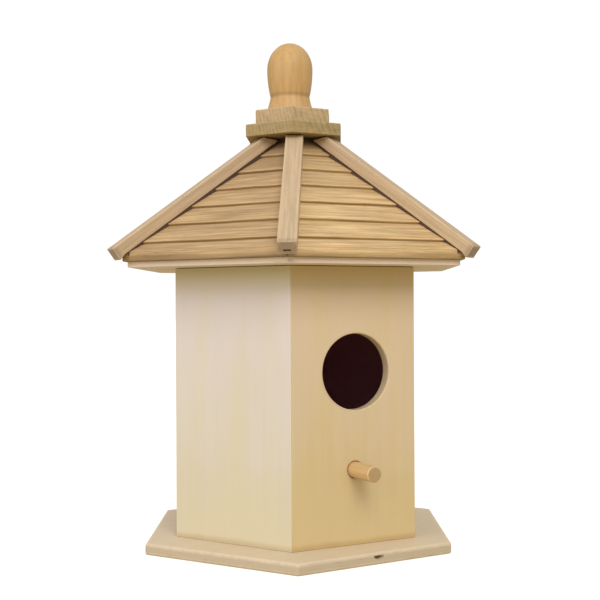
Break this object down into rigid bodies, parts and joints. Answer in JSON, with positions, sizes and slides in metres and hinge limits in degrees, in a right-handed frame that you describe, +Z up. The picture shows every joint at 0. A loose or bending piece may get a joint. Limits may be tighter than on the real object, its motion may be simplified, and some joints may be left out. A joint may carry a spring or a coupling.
{
  "type": "birdhouse",
  "caption": "Hexagonal wooden birdhouse with an entrance hole, a dowel perch, a stepped pyramid roof with hip battens, a turned finial and a swinging clean-out cover.",
  "frame": {"origin": "on the axis of the hexagonal house, at the underside of the base board", "axes": "+Z up along the axis of the house; the wall with the entrance hole and the perch faces -Y; corners of the hexagon point along +X and -X"},
  "size_m": [0.2122, 0.1882, 0.2685],
  "materials": {
    "base_wood": "bare sanded board, matte",
    "side_wall_wood": "pale bare wood, sanded, matte",
    "front_wall_wood": "cream bare wood, sanded, matte",
    "perch_wood": "smooth dowel, satin",
    "eave_wood": "pale bare wood, matte",
    "roof_wood": "planed softwood with level grain, matte",
    "batten_wood": "planed softwood with lengthwise grain, matte",
    "cap_wood": "rough-sawn wood, matte",
    "finial_wood": "turned and sanded, satin",
    "cover_wood": "bare sanded wood, matte",
    "screw_steel": "zinc-plated steel, satin"
  },
  "bodies": {
    "house": {"base_board": "base_wood", "front_wall": "front_wall_wood", "front_right_wall": "side_wall_wood", "back_right_wall": "side_wall_wood", "back_wall": "side_wall_wood", "back_left_wall": "side_wall_wood", "front_left_wall": "side_wall_wood", "perch": "perch_wood", "eave_board": "eave_wood", "roof_panel_front": "roof_wood", "roof_panel_front_right": "roof_wood", "roof_panel_back_right": "roof_wood", "roof_panel_back": "roof_wood", "roof_panel_back_left": "roof_wood", "roof_panel_front_left": "roof_wood", "hip_batten_front_left": "batten_wood", "hip_batten_front_right": "batten_wood", "hip_batten_right": "batten_wood", "hip_batten_back_right": "batten_wood", "hip_batten_back_left": "batten_wood", "hip_batten_left": "batten_wood", "lower_cap": "cap_wood", "upper_cap": "cap_wood", "finial": "finial_wood", "base_screw_front_right": "screw_steel", "base_screw_back": "screw_steel", "base_screw_front_left": "screw_steel", "pivot_screw": "screw_steel"},
    "cover": {"clean_out_cover": "cover_wood"}
  },
  "joints": [
    {"name": "clean_out_swing", "type": "hinge", "parent": "house", "child": "cover", "pos_m": [0, 0.0634, 0.08], "axis": [0, 1, 0], "continuous": true}
  ]
}
